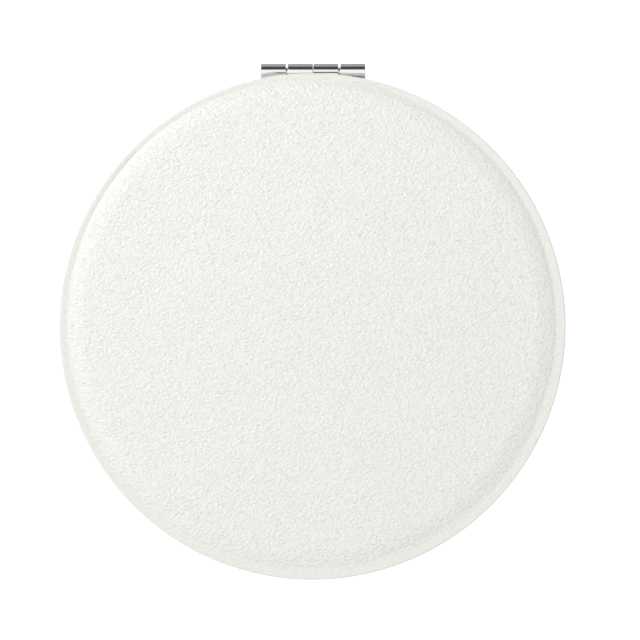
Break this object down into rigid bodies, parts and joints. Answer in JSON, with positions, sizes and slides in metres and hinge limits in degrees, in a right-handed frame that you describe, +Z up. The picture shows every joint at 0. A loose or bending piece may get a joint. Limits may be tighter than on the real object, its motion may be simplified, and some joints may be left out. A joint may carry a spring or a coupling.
{
  "type": "powder compact",
  "caption": "Round leather-covered powder compact: a padded lid with a mirror opens on a barrel hinge over a pan of pressed powder and a puff.",
  "frame": {"origin": "on the round case's axis, at the flat face of the base that the closed compact lies on", "axes": "+Z up towards the closed lid, +Y towards the hinge, -Y towards the front where the lid lifts, +X to the right seen from the front"},
  "size_m": [0.07, 0.0716, 0.013],
  "materials": {
    "covering": "off-white, fine pebbled grain",
    "padding": "foam",
    "panel_board": "plain",
    "shell_chrome": "polished",
    "hinge_chrome": "polished",
    "pin_steel": "ground",
    "insert_plastic": "ivory",
    "mirror_glass": "silvered",
    "adhesive": "double-sided tape",
    "pan_aluminium": "pressed",
    "powder": "matt pressed powder",
    "velour": "short-pile velour",
    "satin": "satin",
    "magnet_plate": "nickel-plated"
  },
  "bodies": {
    "base": {"base_leather": "covering", "base_foam": "padding", "base_panel": "panel_board", "base_shell": "shell_chrome", "base_magnet": "magnet_plate", "base_hinge_leaf": "hinge_chrome", "hinge_pin": "pin_steel", "tray_ring": "insert_plastic", "pan_adhesive": "adhesive", "powder_pan": "pan_aluminium", "pressed_powder": "powder", "puff": "velour", "puff_backing": "satin", "puff_ribbon": "satin"},
    "lid": {"lid_leather": "covering", "lid_foam": "padding", "lid_panel": "panel_board", "lid_shell": "shell_chrome", "lid_magnet": "magnet_plate", "lid_hinge_leaf": "hinge_chrome", "mirror_tape": "adhesive", "mirror": "mirror_glass", "mirror_bezel": "insert_plastic"}
  },
  "joints": [
    {"name": "lid_hinge", "type": "hinge", "parent": "base", "child": "lid", "pos_m": [0, 0.03545, 0.0065], "axis": [-1, 0, 0], "range_deg": [0, 180]}
  ]
}
